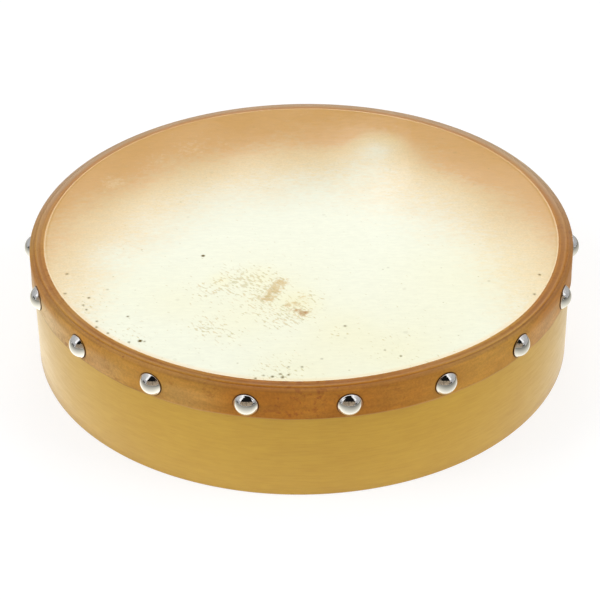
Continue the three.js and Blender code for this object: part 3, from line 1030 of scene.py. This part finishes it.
# %% Hide head: mesh and finishes
ends = np.array(((0.0, 0.0, HEAD_TOP), (0.0, 0.0, HEAD_TOP - HIDE_THICK)))
hide_head = skin_of_rings("hide_head", turned(radius, height, angle), ends)
fit_piece(hide_head, "drum_head", hide)
hide_head.data.materials.append(amber_hide)
centres = np.empty(len(hide_head.data.polygons) * 3)
hide_head.data.polygons.foreach_get("center", centres)
centre_x, centre_y = centres.reshape(-1, 3)[:, :2].T
over_wood = np.hypot(centre_x, centre_y) - rim_shift(centre_x, centre_y) > WOOD_BEGINS
hide_head.data.polygons.foreach_set("material_index", over_wood.astype(np.int32))

# %% [markdown]
# ## The tacks
#
# Each tack is a hollow pressed dome on a pointed shank, driven through the skirt into the wood. One profile
# is turned about the tack's own axis, which points out from the drum, and the loop drives eighteen of them
# round the hoop. Copies of one tack would do, but no two sit quite alike, so a seeded draw tips each one.

# %% Tack profile
DOME_RADIUS = 5.5 * MM
DOME_HEIGHT = 3.8 * MM
DOME_SHEET = 0.6 * MM
CROWN_GAP_DEGREES = 3
LIP_ROUND = 0.5 * MM
LIP_INSET = 0.1 * MM
HOLLOW_INSET = 2.6 * LIP_ROUND
SHANK_RADIUS = 0.85 * MM
SHOULDER_RADIUS = SHANK_RADIUS * 1.3
SHOULDER_DROP = 0.3 * MM
SHANK_TIP = PLY_RADII["shell_inner_ply"] - PLY_THICK + 0.8 * MM
POINT_LENGTH = 2.4 * MM

sphere = (DOME_RADIUS ** 2 + DOME_HEIGHT ** 2) / (2 * DOME_HEIGHT)
hollow = sphere - DOME_SHEET
ball_middle = (0.0, DOME_HEIGHT - sphere)
seat = SKIRT_RADIUS - DIMPLE_DEPTH
shank_end = SHANK_TIP - seat
cap_angle = math.degrees(math.asin((DOME_RADIUS - LIP_ROUND) / sphere))
hollow_edge = math.degrees(math.acos((DOME_RADIUS - HOLLOW_INSET) / hollow))
hollow_top = math.degrees(math.acos(SHOULDER_RADIUS / hollow))
outside = arc(ball_middle, sphere, 90 - CROWN_GAP_DEGREES, 90 - cap_angle, 24)
lip = arc((outside[-1, 0] - LIP_INSET, LIP_ROUND), LIP_ROUND, 20, -90, 6)
inside = arc(ball_middle, hollow, hollow_edge, hollow_top, 10)
point_start = (SHANK_RADIUS, shank_end + POINT_LENGTH)
shank = straight((SHANK_RADIUS, inside[-1, 1] - SHOULDER_DROP), point_start, 6)
point = straight(point_start, (0.0, shank_end), 4)
tack_profile = np.vstack((outside, lip, inside, shank, point))
print("a tack reaches", round(float((DOME_HEIGHT - shank_end) / MM), 2), "mm from crown to point")

# %% Eighteen tacks
TACK_COLUMNS = 56
TACK_TIP_ANGLE = math.radians(1.2)
spin = np.arange(TACK_COLUMNS) * 2 * math.pi / TACK_COLUMNS
dice = np.random.default_rng(18)


def tack(index):
    """The tack profile spun about an axis that points out of the drum, tipped by a small drawn angle."""
    turn = (index + 0.5) * TACK_STEP
    out_way = way_out(turn, 0.0)
    side_way = np.array((math.cos(turn), math.sin(turn), 0.0))
    lean_side, lean_up = dice.uniform(-TACK_TIP_ANGLE, TACK_TIP_ANGLE, 2)
    axis = unit(out_way + lean_side * side_way + lean_up * UP)
    first = unit(side_way - axis * (side_way @ axis))
    second = np.cross(axis, first)
    foot = seat * out_way + TACK_HEIGHT * UP
    wide, tall = tack_profile[:, :1, None], tack_profile[:, 1:, None]
    round_way = np.cos(spin)[:, None] * first + np.sin(spin)[:, None] * second
    rings = foot + tall * axis + wide * round_way[None]
    ends = np.array((foot + DOME_HEIGHT * axis, foot + shank_end * axis))
    node = f"tack_{index + 1:02d}"
    fit_piece(skin_of_rings(f"dome_{node}", rings, ends), node, tack_metal)


for index in range(TACK_COUNT):
    tack(index)

# %% [markdown]
# ## Floor and backdrop
#
# The drum stands on a white table in a white room. Strong lamps could bleach the floor, but they would
# bleach the hide with it. Instead the floor and the sky look white to the camera and to mirrors by a Light
# Path switch, so the lamps can stay at a plain level and the floor still keeps the drum's shadow.

# %% Floor
FLOOR_REACH = 4.0
FLOOR_PALE = srgb(238, 238, 238)
FLOOR_WORN = srgb(234, 234, 234)
FLOOR_SEEN = srgb(160, 160, 160)
FLOOR_LIFT = 0.7
WHITE = (1.0, 1.0, 1.0, 1.0)


def seen_directly(tree):
    """1 for rays from the camera and for what mirrors and glass show, 0 for the light on surfaces."""
    path = put(tree, "ShaderNodeLightPath").outputs
    mirrored = maths(tree, "MAXIMUM", path["Is Glossy Ray"], path["Is Transmission Ray"])
    return maths(tree, "MAXIMUM", path["Is Camera Ray"], mirrored)


floor_finish, tree, shader, place = new_finish("white_table")
seen = seen_directly(tree)
lit = blend(tree, clouds(tree, place, scale=3.0), FLOOR_PALE, FLOOR_WORN)
join(tree, blend(tree, seen, lit, FLOOR_SEEN), shader.inputs["Base Color"])
shader.inputs["Roughness"].default_value = 0.9
shader.inputs["Specular IOR Level"].default_value = 0.0
shader.inputs["Emission Color"].default_value = WHITE
join(tree, times(tree, seen, FLOOR_LIFT), shader.inputs["Emission Strength"])
corners = FLOOR_REACH * np.array(((-1, -1, 0), (1, -1, 0), (1, 1, 0), (-1, 1, 0)), dtype=float)
floor_mesh = bpy.data.meshes.new("floor")
floor_mesh.from_pydata(corners.tolist(), [], [(0, 1, 2, 3)])
floor_mesh.materials.append(floor_finish)
add_object("floor", floor_mesh)
print("floor is", 2 * FLOOR_REACH, "m wide")

# %% Sky
SKY_ON_SURFACES = 0.5
sky = bpy.data.worlds.new("white_room")
sky.use_nodes = True
bpy.context.scene.world = sky
background = sky.node_tree.nodes["Background"]
background.inputs["Color"].default_value = WHITE
sky_level = ease(sky.node_tree, seen_directly(sky.node_tree), 0.0, 1.0, SKY_ON_SURFACES, 1.0)
join(sky.node_tree, sky_level, background.inputs["Strength"])
print("sky lights surfaces at", SKY_ON_SURFACES)

# %% [markdown]
# ## Lamps
#
# The light is soft and comes from all round. Two large lamps stand left and right, a fill stands in front,
# and one behind the drum gives the hide part of its broad satin shine; the rest is a painted sheen in the
# hide's cream. A single box there would show a hard edge in the hide, so five ovals of growing size lie one
# behind the other and fade out together. A small lamp adds part of the bright spot at the back, and a
# painted highlight in the hide's colour adds the rest.

# %% Lamps
SIDE_BOXES = (("left_soft_box", -76.0, 44.0, 4.1), ("right_soft_box", 76.0, 43.0, 3.7))
SIDE_BOX_DISTANCE, SIDE_BOX_SIZE = 1.7, (0.9, 0.9)
BACK_BOX_TURN, BACK_BOX_RISE = 180.8, 38.6
BACK_BOX_DISTANCE, BACK_BOX_GAP = 1.9, 0.01
BACK_BOX_WIDTH, BACK_BOX_HEIGHT = 0.88, 0.554
BACK_BOX_SHARES = (0.86, 0.93, 1.0, 1.07, 1.14)
BACK_BOX_LEVEL = 0.8
OVAL_SHARE = math.pi / 4


def lamp(name, turn, rise, distance, size, level, shape="RECTANGLE"):
    """A soft box that faces the drum, at a turn and a rise in degrees. level is its brightness as seen,
    where 1 is white: the energy is level times pi times the area."""
    away = way_out(math.radians(turn), math.radians(rise))
    light = bpy.data.lights.new(name, "AREA")
    light.shape = shape
    light.size, light.size_y = size
    light.energy = level * math.pi * size[0] * size[1] * (OVAL_SHARE if shape == "ELLIPSE" else 1.0)
    side = unit(np.cross(UP, away))
    box = add_object(name, light)
    aim(box, side, np.cross(away, side), away, away * distance)
    print(name, "energy", round(light.energy, 3))
    return box


for name, turn, rise, level in SIDE_BOXES:
    lamp(name, turn, rise, SIDE_BOX_DISTANCE, SIDE_BOX_SIZE, level).visible_glossy = False
for step, share in enumerate(BACK_BOX_SHARES):
    lamp(f"back_soft_box_{step}", BACK_BOX_TURN, BACK_BOX_RISE, BACK_BOX_DISTANCE + BACK_BOX_GAP * step,
         (BACK_BOX_WIDTH * share, BACK_BOX_HEIGHT * share), BACK_BOX_LEVEL, "ELLIPSE")
lamp("back_glint", turn=177.1, rise=30.9, distance=BACK_BOX_DISTANCE, size=(0.1, 0.05), level=2.8,
     shape="ELLIPSE")
front_fill = lamp("front_fill", turn=0.0, rise=16.0, distance=2.2, size=(1.6, 0.9), level=1.0)
front_fill.visible_glossy = False

# %% [markdown]
# ## Cards for the mirrors
#
# A chrome dome shows the whole room. In a white room it would vanish, so the photographer's dark ceiling,
# the grey walls and the table that falls off into shade are stood in for by cards that only mirrors see.
# The walls come first, as patches of a sphere round the drum.

# %% A card that only mirrors see
BLACK = (0.0, 0.0, 0.0, 1.0)


def card(name, grid, glow):
    """A sheet through a grid of points that only mirrors see. glow is its colour, plain or worked out."""
    number = np.arange(grid.shape[0] * grid.shape[1]).reshape(grid.shape[:2])
    quads = np.stack((number[:-1, :-1], number[:-1, 1:], number[1:, 1:], number[1:, :-1]), axis=-1)
    mesh = bpy.data.meshes.new(name)
    mesh.from_pydata(grid.reshape(-1, 3).tolist(), [], quads.reshape(-1, 4).tolist())
    finish, tree, shader, place = new_finish(name)
    shader.inputs["Base Color"].default_value = BLACK
    shader.inputs["Specular IOR Level"].default_value = 0.0
    shader.inputs["Emission Strength"].default_value = 1.0
    join(tree, glow(tree, place) if callable(glow) else glow, shader.inputs["Emission Color"])
    mesh.materials.append(finish)
    piece = add_object(name, mesh)
    for rays in ("camera", "diffuse", "shadow", "transmission"):
        setattr(piece, f"visible_{rays}", False)
    print(name, "has", quads.shape[0] * quads.shape[1], "faces")


def grey_as(tree, grey, tint):
    """A grey level given a tint of red, green and blue shares."""
    parts = {part: times(tree, grey, share) for part, share in zip(("Red", "Green", "Blue"), tint)}
    return put(tree, "ShaderNodeCombineColor", parts).outputs["Color"]


# %% Wall cards
WALL_DISTANCE, STAND_DISTANCE = 2.6, 2.4
NEUTRAL, WARM = (1.0, 1.0, 1.0), (1.0, 0.8, 0.57)


def wall_card(name, turns, rises, shades, tint=NEUTRAL, distance=WALL_DISTANCE, patches=0.1):
    """A patch of a sphere round the drum, from one turn and rise to another, graded from low to high and
    made uneven by soft patches."""
    turn, rise = np.meshgrid(np.radians(np.linspace(*turns, 13)), np.radians(np.linspace(*rises, 9)))
    grid = distance * way_out(turn, rise)
    low, high = float(grid[..., 2].min()), float(grid[..., 2].max())

    def glow(tree, place):
        """A grade by height, times soft patches about 1."""
        uneven = ease(tree, noise(tree, place, scale=2.2, detail=2.0), 0.3, 0.7, 1 - patches, 1 + patches)
        graded = ease(tree, split(tree, place)["Z"], low, high, *shades)
        return grey_as(tree, times(tree, graded, uneven), tint)

    card(name, grid, glow)


wall_card("front_card", (-54.0, 54.0), (0.5, 38.0), (0.34, 0.26), WARM, patches=0.3)
for side, way in (("left", -1.0), ("right", 1.0)):
    wall_card(f"{side}_low_card", (54.0 * way, 118.0 * way), (1.0, 25.0), (0.42, 0.48))
    wall_card(f"{side}_high_card", (74.0 * way, 118.0 * way), (25.0, 54.0), (0.48, 0.66))
    wall_card(f"{side}_back_card", (118.0 * way, 164.5 * way), (1.0, 62.0), (0.45, 0.45))
wall_card("left_stand_card", (-92.0, -66.0), (0.5, 9.0), (0.03, 0.06), distance=STAND_DISTANCE)
wall_card("right_stand_card", (44.0, 68.0), (0.5, 9.0), (0.03, 0.06), distance=STAND_DISTANCE)
wall_card("back_card", (164.5, 195.5), (2.0, 29.0), (0.9, 0.3))
wall_card("behind_card", (164.5, 195.5), (29.0, 62.0), (0.3, 0.3))

# %% [markdown]
# ## The dark ceiling
#
# The front tacks carry a dark cap with a rounded top, which is the unlit ceiling. Its outline could be
# found by trial; here the cap is drawn as it looks on a dome, and each of its points is sent out along the
# mirrored line of sight to the place in the room that the dome shows there.

# %% Dark ceiling card
CEILING_DISTANCE = 2.5
CEILING_DARK = (0.008, 0.008, 0.008, 1.0)
CAP_LOW, CAP_HIGH, CAP_HALF_WIDTH = 0.0, 0.37, 0.4
CAP_CENTRE = 0.02
CAP_TAPER = 0.42


def mirrored_way(across, up):
    """Where a dome at the front sends the eye, from a spot on its picture with the ball's radius as 1.
    The spot gives the dome's slope n, and the way is 2 (n . v) n - v, with v towards the camera."""
    depth = np.sqrt(1 - across ** 2)
    pitch = CAMERA_RISE + np.arcsin(up / depth)
    slope = np.stack((across, -depth * np.cos(pitch), depth * np.sin(pitch)), axis=-1)
    return 2 * (slope @ towards_camera)[..., None] * slope - towards_camera


share = np.linspace(0.0, 0.97, 12)[:, None]
across = CAP_CENTRE + CAP_HALF_WIDTH * (1 - share) ** CAP_TAPER * np.linspace(-1.0, 1.0, 13)
up = np.broadcast_to(CAP_LOW + share * (CAP_HIGH - CAP_LOW), across.shape)
card("ceiling_card", CEILING_DISTANCE * mirrored_way(across, up), CEILING_DARK)

# %% [markdown]
# ## The table in the mirrors
#
# In the domes the table is white beside the drum and falls off into shade further out. The real floor here
# stays white for the camera, so a ring just above it, which only mirrors see, carries that fall.

# %% Table card
TABLE_CARD_RADII = (0.127, 2.4)
TABLE_CARD_LIFT = 0.4 * MM
TABLE_NEAR_SHADE = 0.9
TABLE_FAR_SHADE = 0.25
TABLE_FALL = -2.2
TABLE_REAR_LIFT = 0.45
TABLE_REAR = (-0.22, -0.02)
TABLE_RIGHT_SHARE = 0.74
TABLE_RIGHT = (-0.05, 0.14)
TABLE_TINT = (1.0, 0.97, 0.84)


def table_glow(tree, place):
    """White beside the drum, falling off to a dark grey with a power of the distance from its axis, lighter
    behind and darker on the right."""
    fall = maths(tree, "POWER", maths(tree, "DIVIDE", length(tree, place), TABLE_CARD_RADII[0]), TABLE_FALL)
    sideways, rearward = split(tree, place)[:2]
    rear = ease(tree, rearward, *TABLE_REAR, TABLE_NEAR_SHADE, TABLE_NEAR_SHADE + TABLE_REAR_LIFT)
    right = ease(tree, sideways, *TABLE_RIGHT, 1.0, TABLE_RIGHT_SHARE)
    return grey_as(tree, times(tree, plus(tree, times(tree, fall, rear), TABLE_FAR_SHADE), right), TABLE_TINT)


turn, away = np.meshgrid(np.linspace(0, 2 * math.pi, 73), np.geomspace(*TABLE_CARD_RADII, 12))
card("table_card", turned(away, TABLE_CARD_LIFT, turn), table_glow)
